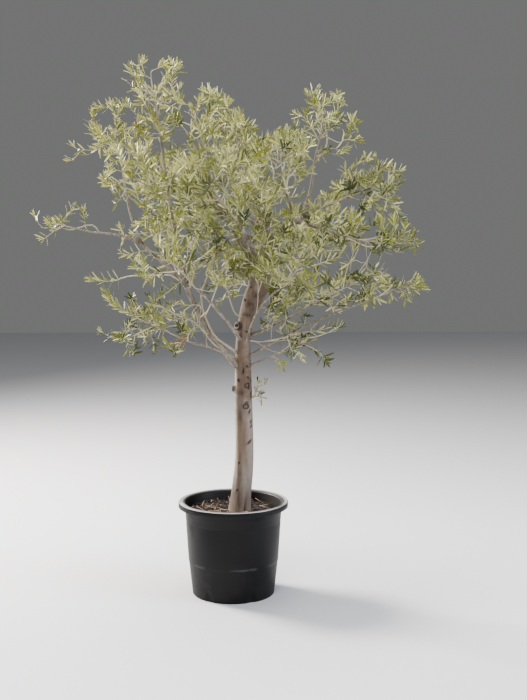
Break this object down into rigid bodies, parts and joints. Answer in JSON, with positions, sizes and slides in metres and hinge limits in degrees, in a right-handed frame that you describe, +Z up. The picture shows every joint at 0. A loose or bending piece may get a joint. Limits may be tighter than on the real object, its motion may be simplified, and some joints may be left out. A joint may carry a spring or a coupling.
{
  "type": "potted olive tree",
  "caption": "Young standard olive tree with a bare leaning trunk and an open rounded crown of narrow grey-green leaves, in a round black nursery pot.",
  "frame": {"origin": "centre of the pot's flat underside, where the pot stands on the ground", "axes": "+Z up, +X to the viewer's right and +Y away from the viewer in the reference view"},
  "size_m": [1.5729, 1.2368, 2.2172],
  "materials": {
    "pot": "satin black",
    "soil": "dry, crumbly",
    "trunk_bark": "smooth grey-tan bark",
    "limb_bark": "pale grey-brown bark",
    "foliage": "leathery, silvery"
  },
  "bodies": {
    "root": {"pot": "pot", "soil": "soil", "trunk": "trunk_bark", "bough_left": "limb_bark", "bough_arch": "limb_bark", "fork_left": "limb_bark", "fork_back": "limb_bark", "fork_right": "limb_bark", "fork_front": "limb_bark", "limb_top_left": "limb_bark", "limb_upper_left": "limb_bark", "limb_long_left": "limb_bark", "limb_left": "limb_bark", "limb_left_back": "limb_bark", "limb_left_low": "limb_bark", "limb_upper_front": "limb_bark", "limb_top": "limb_bark", "limb_front": "limb_bark", "limb_top_right": "limb_bark", "limb_inner_right": "limb_bark", "limb_right": "limb_bark", "limb_right_mid": "limb_bark", "limb_right_low": "limb_bark", "limb_right_tip": "limb_bark", "limb_under_right": "limb_bark", "limb_front_right": "limb_bark", "limb_back_top": "limb_bark", "limb_back_left": "limb_bark", "limb_back_right": "limb_bark", "limb_back_low": "limb_bark", "limb_front_low": "limb_bark", "foliage_top_left": "foliage", "foliage_upper_left": "foliage", "foliage_long_left": "foliage", "foliage_left": "foliage", "foliage_left_back": "foliage", "foliage_left_low": "foliage", "foliage_upper_front": "foliage", "foliage_top": "foliage", "foliage_front": "foliage", "foliage_top_right": "foliage", "foliage_inner_right": "foliage", "foliage_right": "foliage", "foliage_right_mid": "foliage", "foliage_right_low": "foliage", "foliage_right_tip": "foliage", "foliage_under_right": "foliage", "foliage_front_right": "foliage", "foliage_back_top": "foliage", "foliage_back_left": "foliage", "foliage_back_right": "foliage", "foliage_back_low": "foliage", "foliage_front_low": "foliage", "foliage_shoot": "foliage"}
  },
  "joints": []
}
